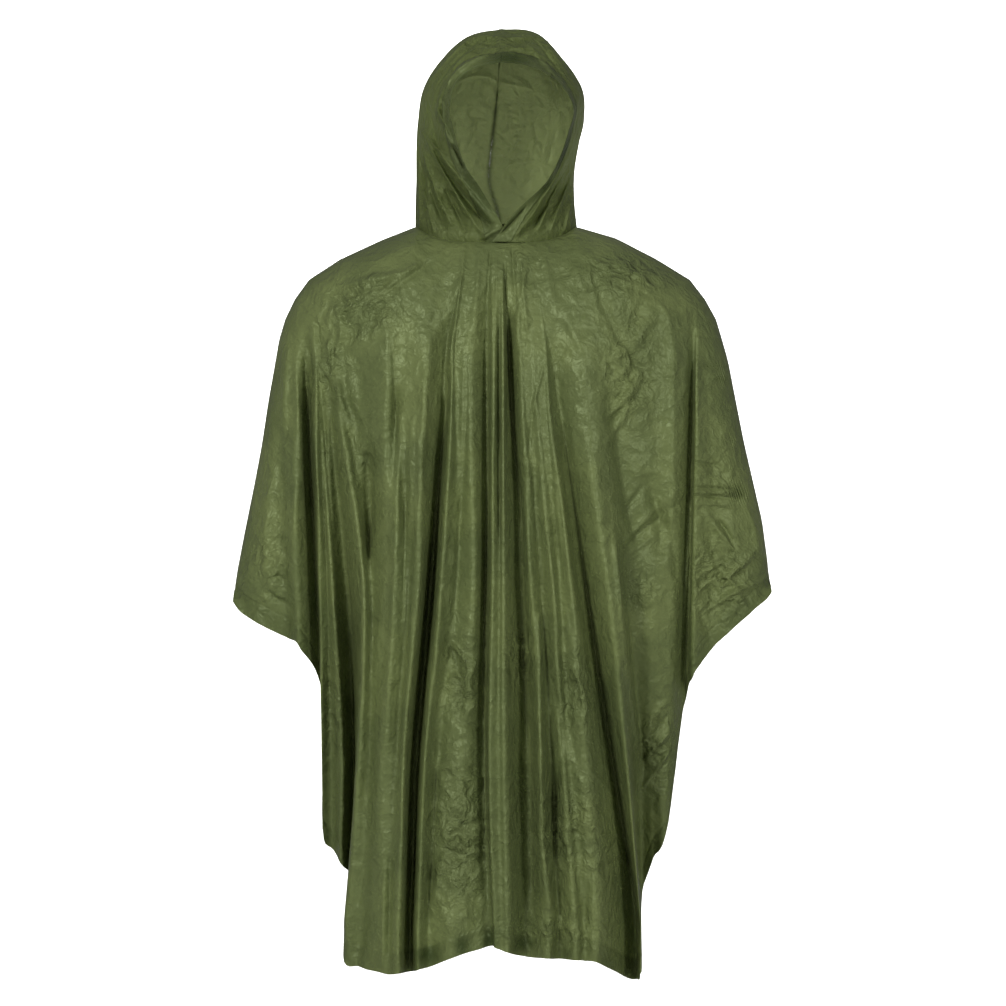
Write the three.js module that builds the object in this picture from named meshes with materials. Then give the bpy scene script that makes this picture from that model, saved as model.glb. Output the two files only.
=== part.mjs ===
// A hooded rain poncho of thin plastic film, hollow, in the shape it takes on a wearer who isn't shown.
// One rectangular sheet with rounded corners hangs over the shoulders and arms as a front and a back,
// its four edges are folded and welded into a hem, and a two-panel hood is welded round the neck opening.
//
// Millimetres, +Z up, -Y is the front, +X the viewer's right. The origin is the middle of the neck
// opening, where the wearer's shoulders carry the garment.
import * as THREE from "three";

const FILM_WALL = 1.6; // wall of the panels; the real film is thinner
const HEM_WALL = 1.0; // second layer of film where an edge is folded over
const SEAM_GAP = 0.3; // clearance between two pieces that are welded together
const NECK_GAP = 1.5; // the hood's edge stands this far above the curved neck edge
const HEM_WIDTH = 27; // folded edge of the sheet
const FACE_HEM_WIDTH = 24; // folded edge round the face

// Neck opening: an ellipse that dips at the throat.
const NECK = { left: -110, right: 105, front: 82, back: 88, sideZ: 10, throatZ: -17, napeZ: 22 };

// How closely the panels are divided: steps from one fold line to the next, and rows down to the hem.
const FRONT_STEPS = { perFold: 2, rows: 14 };
const BACK_STEPS = { perFold: 2, rows: 11 };
const HOOD_STEPS = { along: 16, around: 14 }; // from the neck to the crown, and from the face to the back
const NECK_STEPS = 12;
const CLOSER_AT_TOP = 0.35; // share by which the rows crowd towards the shoulders

const FILM = new THREE.MeshStandardMaterial({ color: 0x56653a, roughness: 0.42, metalness: 0 });
const HEM_FILM = new THREE.MeshStandardMaterial({ color: 0x4c5933, roughness: 0.45, metalness: 0 });
const HOOD_FILM = new THREE.MeshStandardMaterial({ color: 0x5b6a3e, roughness: 0.42, metalness: 0 });

// Tables: each row is read into an object by the column names.
function table(columns, rows) {
  const names = columns.split(" ");
  return rows.map((row) => Object.fromEntries(names.map((name, i) => [name, row[i]])));
}

const clamp = (v, low, high) => Math.min(high, Math.max(low, v));
const mix = (a, b, t) => a + (b - a) * t;
const smooth = (t) => {
  const u = clamp(t, 0, 1);
  return u * u * (3 - 2 * u);
};

// Catmull-Rom value of a list at a real index.
function splineAt(values, index) {
  const i = clamp(Math.floor(index), 0, values.length - 2);
  const f = index - i;
  const b = values[i];
  const c = values[i + 1];
  const a = values[i - 1] ?? 2 * b - c;
  const d = values[i + 2] ?? 2 * c - b;
  return b + 0.5 * f * (c - a + f * (2 * a - 5 * b + 4 * c - d + f * (3 * (b - c) + d - a)));
}

// Shoulder and arm line, from the side of the neck out to the end of the wing.
const LEFT_RIDGE = table("x z", [
  [-110, 10],
  [-153, -7],
  [-210, -33],
  [-251, -60],
  [-270, -86],
  [-283, -113],
  [-291, -140],
  [-297, -175],
  [-305, -220],
  [-314, -280],
  [-325, -338],
  [-336, -392],
  [-346, -444],
  [-350, -470],
]);
const RIGHT_RIDGE = table("x z", [
  [105, 10],
  [156, -5],
  [211, -33],
  [255, -60],
  [275, -86],
  [290, -113],
  [298, -140],
  [306, -168],
  [316, -220],
  [327, -276],
  [339, -328],
  [351, -380],
  [358, -432],
  [361, -462],
]);

// The neck edge at x: half an ellipse in plan, level in the middle and rising to the sides.
function neckEdge(x, isFront) {
  const half = x < 0 ? -NECK.left : NECK.right;
  const reach = Math.min(1, Math.abs(x / half));
  const depth = (isFront ? NECK.front : NECK.back) * Math.sqrt(1 - reach ** 2);
  return { depth, z: mix(isFront ? NECK.throatZ : NECK.napeZ, NECK.sideZ, reach ** 4) };
}

// The highest line of the body sheet at x: neck opening between the sides of the neck, ridge beyond.
function topZ(x, isFront) {
  if (x > NECK.left && x < NECK.right) return neckEdge(x, isFront).z;
  const ridge = x < 0 ? LEFT_RIDGE : RIGHT_RIDGE;
  const reach = Math.abs(x);
  const i = clamp(ridge.findIndex((p) => Math.abs(p.x) >= reach), 1, ridge.length - 1);
  const a = ridge[i - 1];
  const b = ridge[i];
  return mix(a.z, b.z, clamp((x - a.x) / (b.x - a.x), 0, 1));
}

// Points along that highest line, for the distance of a place from it.
function topLine(isFront) {
  const line = [...LEFT_RIDGE].reverse().map((p) => [p.x, p.z]);
  for (let i = 1; i < NECK_STEPS; i++) {
    const x = mix(NECK.left, NECK.right, i / NECK_STEPS);
    line.push([x, topZ(x, isFront)]);
  }
  return line.concat(RIGHT_RIDGE.map((p) => [p.x, p.z]));
}
function distanceTo(line, x, z) {
  let nearest = Infinity;
  for (let i = 1; i < line.length; i++) {
    const [ax, az] = line[i - 1];
    const [bx, bz] = line[i];
    const dx = bx - ax;
    const dz = bz - az;
    const t = clamp(((x - ax) * dx + (z - az) * dz) / (dx * dx + dz * dz), 0, 1);
    nearest = Math.min(nearest, Math.hypot(x - ax - t * dx, z - az - t * dz));
  }
  return nearest;
}

// How far the cloth stands off the plane of the shoulders, without its folds.
const DEPTHS = table("z front back edge", [
  [0, 118, 104, 60],
  [-240, 150, 134, 62],
  [-460, 160, 132, 60],
  [-680, 168, 142, 26],
  [-900, 174, 150, 18],
]);
const TORSO_HALF_WIDTH = 200;
const TORSO_SQUARENESS = 6;
function levelOf(z) {
  const i = DEPTHS.findIndex((row, k) => k > 0 && z >= row.z);
  const low = i < 0 ? DEPTHS.length - 1 : i;
  return low - 1 + (DEPTHS[low - 1].z - z) / (DEPTHS[low - 1].z - DEPTHS[low].z);
}
function baseDepth(x, z, isFront) {
  const level = clamp(levelOf(z), 0, DEPTHS.length - 1);
  const middle = splineAt(DEPTHS.map((row) => (isFront ? row.front : row.back)), level);
  const edge = splineAt(DEPTHS.map((row) => row.edge), level);
  return mix(edge, middle, 1 / (1 + (Math.abs(x) / TORSO_HALF_WIDTH) ** TORSO_SQUARENESS));
}

// Fold lines of the sheet, from the left wing to the right. A line starts at topX on the highest line,
// runs through x at the heights of FOLD_LEVELS and ends at the edge of the sheet at endZ. It stands out of
// the plain form by out at the heights of OUT_LEVELS (a valley is below zero), and begins at startZ.
const FOLD_LEVELS = [-240, -460, -680, -900];
const OUT_LEVELS = [-240, -560, -880];
const FOLD_COLUMNS = "topX x240 x460 x680 x900 out240 out560 out880 startZ endZ";
const FRONT_FOLDS = table(FOLD_COLUMNS, [
  [-349, -350, -350, -350, -350, 0, 0, 0, -200, -487], // wing tip
  [-336, -336, -335, -330, -330, 0, 0, 0, -200, -503],
  [-308, -306, -303, -300, -300, 0, 3, 0, -200, -521],
  [-285, -281, -277, -276, -276, 0, -3, 0, -200, -534],
  [-268, -263, -259, -258, -258, 6, 14, 10, -140, -545], // lit fold of the wing
  [-258, -249, -240, -229, -224, -34, -50, -60, -110, -606], // dark valley beside it
  [-247, -237, -233, -231, -231, 8, 0, -26, -100, -786], // side fold, the outline below the wing
  [-238, -231, -224, -219, -216, 2, -22, -42, -140, -800],
  [-230, -225, -213, -203, -203, 2, -10, -34, -200, -820],
  [-216, -218, -197, -190, -192, -10, -66, -100, -170, -852], // deep valley behind the front
  [-190, -205, -174, -181, -199, 7, 12, 14, -90, -945], // left edge of the front
  [-156, -186, -162, -165, -176, -12, -10, 3, -110, -955],
  [-110, -142, -130, -150, -152, 5, 8, 6, -60, -958],
  [-94, -127, -115, -130, -138, -6, -5, 4, -120, -959],
  [-78, -94, -101, -119, -125, 8, 15, 12, -60, -957],
  [-47, -71, -86, -106, -113, -32, -56, -52, -40, -954], // long black valley
  [-41, -61, -73, -94, -103, 6, 8, 6, -50, -952],
  [-32, -52, -51, -80, -86, -5, -11, -12, -120, -947],
  [-24, -36, -30, -46, -55, 6, 4, 4, -60, -935],
  [-13, -14, -15, -17, -12, -24, -28, -18, -40, -921], // left of the middle pleat
  [-7, -7, -7, -11, -5, 4, 8, 8, -30, -923],
  [-1, 0, 2, 1, 5, -5, 3, 6, -30, -926],
  [6, 8, 9, 11, 16, 4, 8, 8, -30, -930],
  [13, 16, 30, 35, 36, -30, -50, -40, -60, -934], // right of the middle pleat
  [20, 30, 41, 53, 64, 2, 4, 2, -60, -937],
  [28, 40, 56, 68, 79, -4, -20, -24, -200, -937],
  [34, 50, 69, 82, 98, 2, 2, 3, -100, -939],
  [39, 58, 79, 93, 111, -2, -9, -8, -300, -940],
  [43, 66, 92, 115, 131, 2, 7, 5, -100, -945],
  [48, 78, 110, 146, 178, -16, -52, -62, -80, -972], // long slanting valley
  [82, 116, 140, 165, 184, 7, 12, 14, -60, -962], // right edge of the front
  [105, 156, 173, 181, 190, -8, -28, -88, -120, -884],
  [172, 198, 203, 203, 203, -3, -14, -60, -120, -826],
  [236, 241, 235, 225, 216, 7, -4, -26, -90, -789], // side fold on the right
  [251, 250, 241, 232, 228, -36, -52, -60, -90, -617], // dark valley beside the wing
  [264, 259, 255, 254, 254, 7, 8, 6, -110, -584],
  [286, 281, 280, 278, 278, 0, -3, 0, -200, -549],
  [312, 308, 305, 303, 303, 0, 3, 0, -200, -525],
  [347, 344, 340, 335, 335, 0, 0, 0, -200, -494],
  [361, 361, 361, 361, 361, 0, 0, 0, -200, -474], // wing tip
]);
const BACK_FOLDS = table(FOLD_COLUMNS, [
  [-349, -350, -350, -350, -350, 0, 0, 0, -200, -487], // wing tip
  [-322, -320, -318, -316, -316, 0, 2, 0, -200, -509],
  [-272, -270, -266, -262, -262, 7, 10, 6, -140, -535],
  [-256, -249, -241, -230, -226, -30, -44, -54, -110, -592],
  [-244, -236, -230, -224, -222, 7, -4, -18, -100, -778], // side fold
  [-222, -217, -203, -190, -192, -8, -56, -84, -170, -838],
  [-176, -196, -176, -176, -182, 8, 12, 12, -90, -915],
  [-110, -160, -142, -148, -150, -14, -16, -10, -110, -926],
  [-90, -116, -112, -122, -124, 8, 14, 12, -60, -928],
  [-64, -82, -90, -98, -102, -22, -40, -36, -60, -925],
  [-46, -62, -70, -76, -82, 7, 10, 8, -60, -922],
  [-26, -34, -38, -46, -50, -10, -20, -18, -100, -918],
  [-10, -14, -16, -18, -20, 6, 10, 10, -60, -914],
  [6, 8, 8, 8, 8, -14, -26, -22, -60, -912],
  [22, 28, 30, 34, 36, 7, 10, 8, -60, -914],
  [42, 54, 60, 68, 74, -12, -24, -28, -90, -918],
  [62, 80, 90, 100, 106, 7, 12, 10, -60, -922],
  [86, 110, 116, 128, 134, -20, -38, -40, -80, -926],
  [105, 142, 148, 156, 160, 7, 11, 12, -90, -924],
  [156, 180, 178, 180, 182, -9, -20, -50, -120, -900],
  [204, 214, 206, 196, 192, -4, -40, -80, -170, -846],
  [238, 238, 230, 220, 214, 7, -4, -20, -100, -782], // side fold
  [252, 250, 241, 232, 228, -30, -44, -54, -100, -606],
  [272, 268, 264, 260, 260, 6, 8, 6, -120, -566],
  [326, 322, 320, 316, 316, 0, 2, 0, -200, -516],
  [361, 361, 361, 361, 361, 0, 0, 0, -200, -474], // wing tip
]);

const TOP_SETTLE = 160; // height over which a line leaves its place at the top
const FOLD_GROWTH = 150; // height over which a fold opens
const ROUND_OVER_ARM = 70; // radius of the cloth over the arm
const ROUND_AT_NECK = 120; // and over the shoulders beside the neck
const ARM_FROM = { x: 60, over: 120 }; // where the shoulder's roundness goes over into the arm's
const LEAST_DEPTH = 5; // front and back stay this far off the middle plane below the arms
const LEAST_DEPTH_BLEND = 14;
const HEM_MOST_SHARE = 0.8; // the hem takes no more than this of a fold line's length
function keptOff(depth) {
  const over = depth - LEAST_DEPTH;
  return LEAST_DEPTH + (over + Math.hypot(over, LEAST_DEPTH_BLEND)) / 2;
}

// A point of the front or back sheet: fold is the real index of a fold line, share runs from the top line
// to the end of the hem.
function sheetPoint(folds, line, isFront, fold, share) {
  const at = (name) => splineAt(folds.map((row) => row[name]), fold);
  const topX = at("topX");
  const start = topZ(topX, isFront);
  const z = mix(start, at("endZ"), share);
  const xs = FOLD_LEVELS.map((level) => at("x" + -level));
  const xAt = (height) => {
    const index = (FOLD_LEVELS[0] - height) / (FOLD_LEVELS[0] - FOLD_LEVELS[1]);
    return index < 0 ? xs[0] + index * 0.5 * (xs[1] - xs[0]) : splineAt(xs, Math.min(index, xs.length - 1));
  };
  const x = xAt(z) + (topX - xAt(start)) * (1 - smooth((start - z) / TOP_SETTLE));
  const outs = OUT_LEVELS.map((level) => at("out" + -level));
  const outIndex = clamp((OUT_LEVELS[0] - z) / (OUT_LEVELS[0] - OUT_LEVELS[1]), 0, outs.length - 1);
  const opened = smooth((at("startZ") - z) / FOLD_GROWTH);
  const depth = keptOff(baseDepth(x, z, isFront) + splineAt(outs, outIndex) * opened);
  const overArm = smooth((Math.abs(x) - ARM_FROM.x) / ARM_FROM.over);
  const radius = mix(ROUND_AT_NECK, ROUND_OVER_ARM, overArm);
  const round = Math.sqrt(1 - (1 - clamp(distanceTo(line, x, z) / radius, 0, 1)) ** 2);
  const y = mix(neckEdge(topX, isFront).depth, depth, round) + SEAM_GAP / 2;
  return [x, isFront ? -y : y, z];
}

// A grid of points: rows from the top to the hem, the last row band being the hem's own width.
function sheetGrid(folds, isFront, { perFold, rows }) {
  const line = topLine(isFront);
  const columns = (folds.length - 1) * perFold;
  const grid = [];
  for (let r = 0; r <= rows + 1; r++) grid.push([]);
  for (let c = 0; c <= columns; c++) {
    const fold = c / perFold;
    const top = sheetPoint(folds, line, isFront, fold, 0);
    const end = sheetPoint(folds, line, isFront, fold, 1);
    const length = top[2] - end[2];
    const hemShare = 1 - Math.min(HEM_WIDTH / length, HEM_MOST_SHARE);
    for (let r = 0; r <= rows; r++) {
      const down = r / rows;
      const share = hemShare * mix(down, down * down, CLOSER_AT_TOP);
      grid[r].push(sheetPoint(folds, line, isFront, fold, share));
    }
    grid[rows + 1].push(end);
  }
  return grid;
}

// Unit normals of a grid, pointing away from the garment's inside.
function gridNormals(grid, outwards) {
  const rows = grid.length;
  const columns = grid[0].length;
  const a = new THREE.Vector3();
  const b = new THREE.Vector3();
  return grid.map((row, r) =>
    row.map((_, c) => {
      a.fromArray(grid[r][Math.min(c + 1, columns - 1)]).sub(b.fromArray(grid[r][Math.max(c - 1, 0)]));
      const across = a.clone();
      a.fromArray(grid[Math.min(r + 1, rows - 1)][c]).sub(b.fromArray(grid[Math.max(r - 1, 0)][c]));
      return across.cross(a).normalize().multiplyScalar(outwards);
    }),
  );
}

// A closed wall over a grid, between two distances along its normals.
function wallOver(grid, normals, inner, outer, outwards) {
  const rows = grid.length;
  const columns = grid[0].length;
  const positions = [];
  for (const distance of [outer, inner])
    grid.forEach((row, r) =>
      row.forEach((p, c) => {
        const n = normals[r][c];
        positions.push(p[0] + n.x * distance, p[1] + n.y * distance, p[2] + n.z * distance);
      }),
    );
  const layer = rows * columns;
  const index = [];
  const quad = (a, b, c, d) => (outwards > 0 ? index.push(a, b, c, a, c, d) : index.push(a, c, b, a, d, c));
  const id = (r, c) => r * columns + c;
  for (let r = 0; r < rows - 1; r++)
    for (let c = 0; c < columns - 1; c++) {
      quad(id(r, c), id(r, c + 1), id(r + 1, c + 1), id(r + 1, c));
      quad(layer + id(r, c), layer + id(r + 1, c), layer + id(r + 1, c + 1), layer + id(r, c + 1));
    }
  const rim = [];
  for (let c = 0; c < columns - 1; c++) rim.push(id(0, c));
  for (let r = 0; r < rows - 1; r++) rim.push(id(r, columns - 1));
  for (let c = columns - 1; c > 0; c--) rim.push(id(rows - 1, c));
  for (let r = rows - 1; r > 0; r--) rim.push(id(r, 0));
  rim.forEach((p, i) => {
    const q = rim[(i + 1) % rim.length];
    quad(p, layer + p, layer + q, q);
  });
  return new THREE.BufferGeometry()
    .setAttribute("position", new THREE.Float32BufferAttribute(positions, 3))
    .setIndex(index);
}

const poncho = new THREE.Group();
function addMesh(name, geometry, material) {
  const mesh = new THREE.Mesh(geometry, material.clone());
  mesh.name = name;
  poncho.add(mesh);
}

// Along the shoulders, where front and back part, the wall is cut off upright; at the neck it is cut off
// level.
function partingNormal(normal, topRow, c) {
  const before = topRow[Math.max(c - 1, 0)];
  const after = topRow[Math.min(c + 1, topRow.length - 1)];
  const atNeck = Math.abs(topRow[c][1]) > SEAM_GAP;
  if (atNeck) normal.set(0, 0, 1);
  else normal.set(before[2] - after[2], 0, after[0] - before[0]).normalize();
}

// Body sheet and its hem, front and back.
function addSheet(side, folds, isFront, steps) {
  const outwards = isFront ? -1 : 1;
  const grid = sheetGrid(folds, isFront, steps);
  const normals = gridNormals(grid, outwards);
  normals[0].forEach((n, c) => partingNormal(n, grid[0], c));
  addMesh("body_" + side, wallOver(grid, normals, -FILM_WALL, 0, outwards), FILM);
  const band = wallOver(grid.slice(-2), normals.slice(-2), SEAM_GAP, SEAM_GAP + HEM_WALL, outwards);
  addMesh("hem_" + side, band, HEM_FILM);
}
addSheet("front", FRONT_FOLDS, true, FRONT_STEPS);
addSheet("back", BACK_FOLDS, false, BACK_STEPS);

// Hood: arches from the edge round the face (face), over the widest arch (side) to the seam at the back
// (seam). The rows run from the left of the neck over the crown to the right of the neck.
const HOOD_ARCHES = table("faceX faceY faceZ sideX sideY sideZ seamY seamZ", [
  [16, -84, -14, -110, 0, 11, 89, 24],
  [5, -93, 8, -110, 3, 42, 99, 52],
  [-15, -97, 41, -109, 6, 76, 110, 80],
  [-41, -101, 80, -109, 10, 115, 118, 108],
  [-54, -104, 116, -107, 12, 152, 122, 134],
  [-62, -106, 152, -100, 14, 195, 122, 160],
  [-55, -108, 184, -78, 15, 232, 118, 182],
  [-36, -109, 203, -42, 15, 265, 112, 197],
  [5, -110, 213, 4, 15, 275, 106, 205],
  [44, -109, 207, 50, 15, 271, 112, 197],
  [79, -107, 187, 83, 15, 240, 118, 182],
  [97, -105, 154, 112, 14, 197, 122, 160],
  [97, -102, 122, 115, 12, 155, 122, 134],
  [86, -99, 90, 108, 10, 122, 118, 108],
  [62, -97, 58, 102, 6, 84, 110, 80],
  [28, -97, 23, 102, 3, 46, 99, 52],
  [-14, -95, -13, 105, 0, 12, 89, 24],
]);
const MIDDLE_ARCH = (HOOD_ARCHES.length - 1) / 2;
const ROUND_THE_HEAD = 330; // length of an arch
const WIDEST = 0.48; // share of the way from the face edge to the back seam
const FACE_TURN = 1.7; // how strongly the cloth turns in towards the face
const SEAM_X = 2; // the seam lies a little beside the middle
const NECK_ROWS = 2.5; // arches over which the hood leaves the neck line
const THROAT = { left: 10, right: -8 }; // where each front edge meets the neck; the right laps over
const LAP = { depth: 9, share: 0.35 }; // how far it stands out there, and over how much of the neck edge

// A point of an arch: share runs from the edge round the face to the seam at the back.
function archPoint(arch, share) {
  const at = (name) => splineAt(HOOD_ARCHES.map((row) => row[name]), arch);
  const side = [at("sideX"), at("sideY"), at("sideZ")];
  if (share < WIDEST) {
    const t = 1 - share / WIDEST;
    const turn = t ** FACE_TURN;
    return [mix(side[0], at("faceX"), turn), mix(side[1], at("faceY"), t), mix(side[2], at("faceZ"), turn)];
  }
  const angle = (((share - WIDEST) / (1 - WIDEST)) * Math.PI) / 2;
  const turn = 1 - Math.cos(angle);
  const seam = [SEAM_X, at("seamY"), at("seamZ")];
  return [mix(side[0], seam[0], turn), mix(side[1], seam[1], Math.sin(angle)), mix(side[2], seam[2], turn)];
}

// The neck edge of the sheet, from a front edge of the hood round to the seam at the back.
function neckPoint(isLeft, share) {
  const half = isLeft ? NECK.left : NECK.right;
  const start = Math.asin(clamp((isLeft ? THROAT.left : THROAT.right) / half, -1, 1));
  const angle = mix(start, Math.PI - Math.asin(SEAM_X / half), share);
  const x = half * Math.sin(angle);
  const isFront = Math.cos(angle) > 0;
  const edge = neckEdge(x, isFront);
  const lap = isLeft ? 0 : LAP.depth * (1 - smooth(share / LAP.share));
  return [x, (isFront ? -edge.depth : edge.depth) - lap, edge.z];
}

// A point of the hood: the lowest arches settle onto the neck edge.
function hoodPoint(arch, share) {
  const isLeft = arch <= MIDDLE_ARCH;
  const rows = isLeft ? arch : HOOD_ARCHES.length - 1 - arch;
  const plain = archPoint(arch, share);
  if (rows >= NECK_ROWS) return plain;
  const lowest = archPoint(isLeft ? 0 : HOOD_ARCHES.length - 1, share);
  const neck = neckPoint(isLeft, share);
  const hold = 1 - smooth(rows / NECK_ROWS);
  return plain.map((v, i) => v + (neck[i] - lowest[i]) * hold);
}

// Each half runs from the neck to the crown; halves meet at the seam with a gap.
function hoodHalf(isLeft, { along, around }) {
  const first = isLeft ? 0 : MIDDLE_ARCH;
  const grid = [];
  const faceShare = FACE_HEM_WIDTH / ROUND_THE_HEAD;
  for (let a = 0; a <= along; a++) {
    const arch = first + (MIDDLE_ARCH * a) / along;
    const row = [hoodPoint(arch, 0)];
    for (let s = 0; s <= around; s++) row.push(hoodPoint(arch, mix(faceShare, 1, s / around)));
    grid.push(row);
  }
  const shift = ((isLeft ? -1 : 1) * SEAM_GAP) / 2;
  return grid.map((row) => row.map(([x, y, z]) => [x + shift, y, z + NECK_GAP]));
}
for (const isLeft of [true, false]) {
  const side = isLeft ? "left" : "right";
  const grid = hoodHalf(isLeft, HOOD_STEPS);
  const normals = gridNormals(grid, 1);
  const crownRow = normals[isLeft ? normals.length - 1 : 0];
  const seam = normals.map((row) => row[row.length - 1]).concat(crownRow);
  for (const n of seam) n.setX(0).normalize(); // the halves part along an upright plane
  addMesh("hood_" + side, wallOver(grid, normals, -FILM_WALL, 0, 1), HOOD_FILM);
  const edge = grid.map((row) => row.slice(0, 2));
  const edgeNormals = normals.map((row) => row.slice(0, 2));
  const depth = FILM_WALL + SEAM_GAP;
  const band = wallOver(edge, edgeNormals, -depth - HEM_WALL, -depth, 1);
  addMesh("face_hem_" + side, band, HEM_FILM);
}

export default poncho;
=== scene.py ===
"""A rain poncho of thin olive PVC film, hollow, in the shape that it takes when it is worn.

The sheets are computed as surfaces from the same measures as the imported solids, in millimetres, and stored
in metres. The origin is the middle of the neck opening, +Z is up and -Y is the front.
"""

import math

import bpy
import numpy as np
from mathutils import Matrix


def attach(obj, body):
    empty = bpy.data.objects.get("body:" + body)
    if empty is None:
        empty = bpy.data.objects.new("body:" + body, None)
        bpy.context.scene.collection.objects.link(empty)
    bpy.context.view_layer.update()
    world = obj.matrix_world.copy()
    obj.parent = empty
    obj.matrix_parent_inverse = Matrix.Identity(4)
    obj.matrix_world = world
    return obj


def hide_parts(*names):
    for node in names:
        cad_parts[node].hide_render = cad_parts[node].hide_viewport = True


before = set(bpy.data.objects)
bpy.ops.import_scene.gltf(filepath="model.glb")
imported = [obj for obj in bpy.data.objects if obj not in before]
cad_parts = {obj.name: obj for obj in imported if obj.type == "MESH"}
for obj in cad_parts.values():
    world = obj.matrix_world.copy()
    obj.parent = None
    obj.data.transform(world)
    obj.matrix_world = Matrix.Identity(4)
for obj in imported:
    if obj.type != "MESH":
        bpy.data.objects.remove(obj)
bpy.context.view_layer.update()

METRES = 0.001
HEM_WIDTH = 27.0
FACE_HEM_WIDTH = 24.0

# The photo's view: 4 m in front of the shoulders, level, with the optical axis at VIEW_X, VIEW_Z.
VIEW_DISTANCE = 4000.0
VIEW_X = 6.65
VIEW_Z = -357.0
MM_PER_PIXEL = 1.33
PIXELS = 1006
MIDDLE_PIXEL = 503.0


def table(columns, rows):
    """Named columns of a table as arrays."""
    return dict(zip(columns.split(), np.array(rows, float).T))


def smooth(t):
    """Cubic step from 0 to 1."""
    u = np.clip(t, 0.0, 1.0)
    return u * u * (3.0 - 2.0 * u)


def mix(a, b, t):
    """Value on the straight line from a at 0 to b at 1."""
    return a + (b - a) * t


def cubic_curve(level, last, index):
    """Catmull-Rom curve at a real index, where level gives the values at whole indices from 0 to last."""
    i = np.clip(np.floor(index).astype(int), 0, last - 1)
    f = index - i
    b, c = level(i), level(i + 1)
    a = np.where(i > 0, level(np.maximum(i - 1, 0)), 2 * b - c)
    d = np.where(i < last - 1, level(np.minimum(i + 2, last)), 2 * c - b)
    return b + 0.5 * f * (c - a + f * (2 * a - 5 * b + 4 * c - d + f * (3 * (b - c) + d - a)))


def cubic(values, index):
    """The curve through a list of values."""
    values = np.asarray(values, float)
    return cubic_curve(lambda k: values[k], len(values) - 1, index)


def cubic_down(levels, index):
    """The curve down each column of a level by column array, at a row by column array of indices."""
    return cubic_curve(lambda k: np.take_along_axis(levels, k, axis=0), len(levels) - 1, index)


# Body form

NECK_LEFT, NECK_RIGHT, NECK_FRONT, NECK_BACK = 110.0, 105.0, 82.0, 88.0
NECK_SIDE_Z, THROAT_Z, NAPE_Z = 10.0, -17.0, 22.0

LEFT_RIDGE = table("x z", [
    [-110, 10], [-153, -7], [-210, -33], [-251, -60], [-270, -86], [-283, -113], [-291, -140],
    [-297, -175], [-305, -220], [-314, -280], [-325, -338], [-336, -392], [-346, -444], [-350, -470],
])
RIGHT_RIDGE = table("x z", [
    [105, 10], [156, -5], [211, -33], [255, -60], [275, -86], [290, -113], [298, -140],
    [306, -168], [316, -220], [327, -276], [339, -328], [351, -380], [358, -432], [361, -462],
])
DEPTHS = table("z front back edge", [
    [0, 118, 104, 60], [-240, 150, 134, 62], [-460, 160, 132, 60], [-680, 168, 142, 26], [-900, 174, 150, 18],
])
TORSO_HALF_WIDTH = 200.0
TORSO_SQUARENESS = 6
LEAST_DEPTH = 5.0
LEAST_DEPTH_BLEND = 14.0
TOP_SETTLE = 160.0
FOLD_GROWTH = 150.0

# The cloth rounds off below the top line over this distance, and the bigger one holds beside the neck.
ROUND_OVER_ARM = 70.0
ROUND_AT_NECK = 120.0
NECK_SIDE = 60.0
NECK_TO_ARM = 120.0

# Near the hem a ridge's edge rises, and a valley's edge drops, by this share of how far it stands out or in.
HEM_EVEN = 0.15
HEM_EVEN_WIDTH = 195.0
HEM_EVEN_BLEND = 20.0
HEM_EVEN_FROM = 0.8
WELD_DEPTH = 0.9
WELD_WIDTH = 2.4

# The fold tables give x at this height and every X_STEP below, and how far a fold stands out at this height
# and every OUT_STEP below.
FIRST_LEVEL = -240.0
X_STEP = 220.0
OUT_STEP = 320.0

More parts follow.
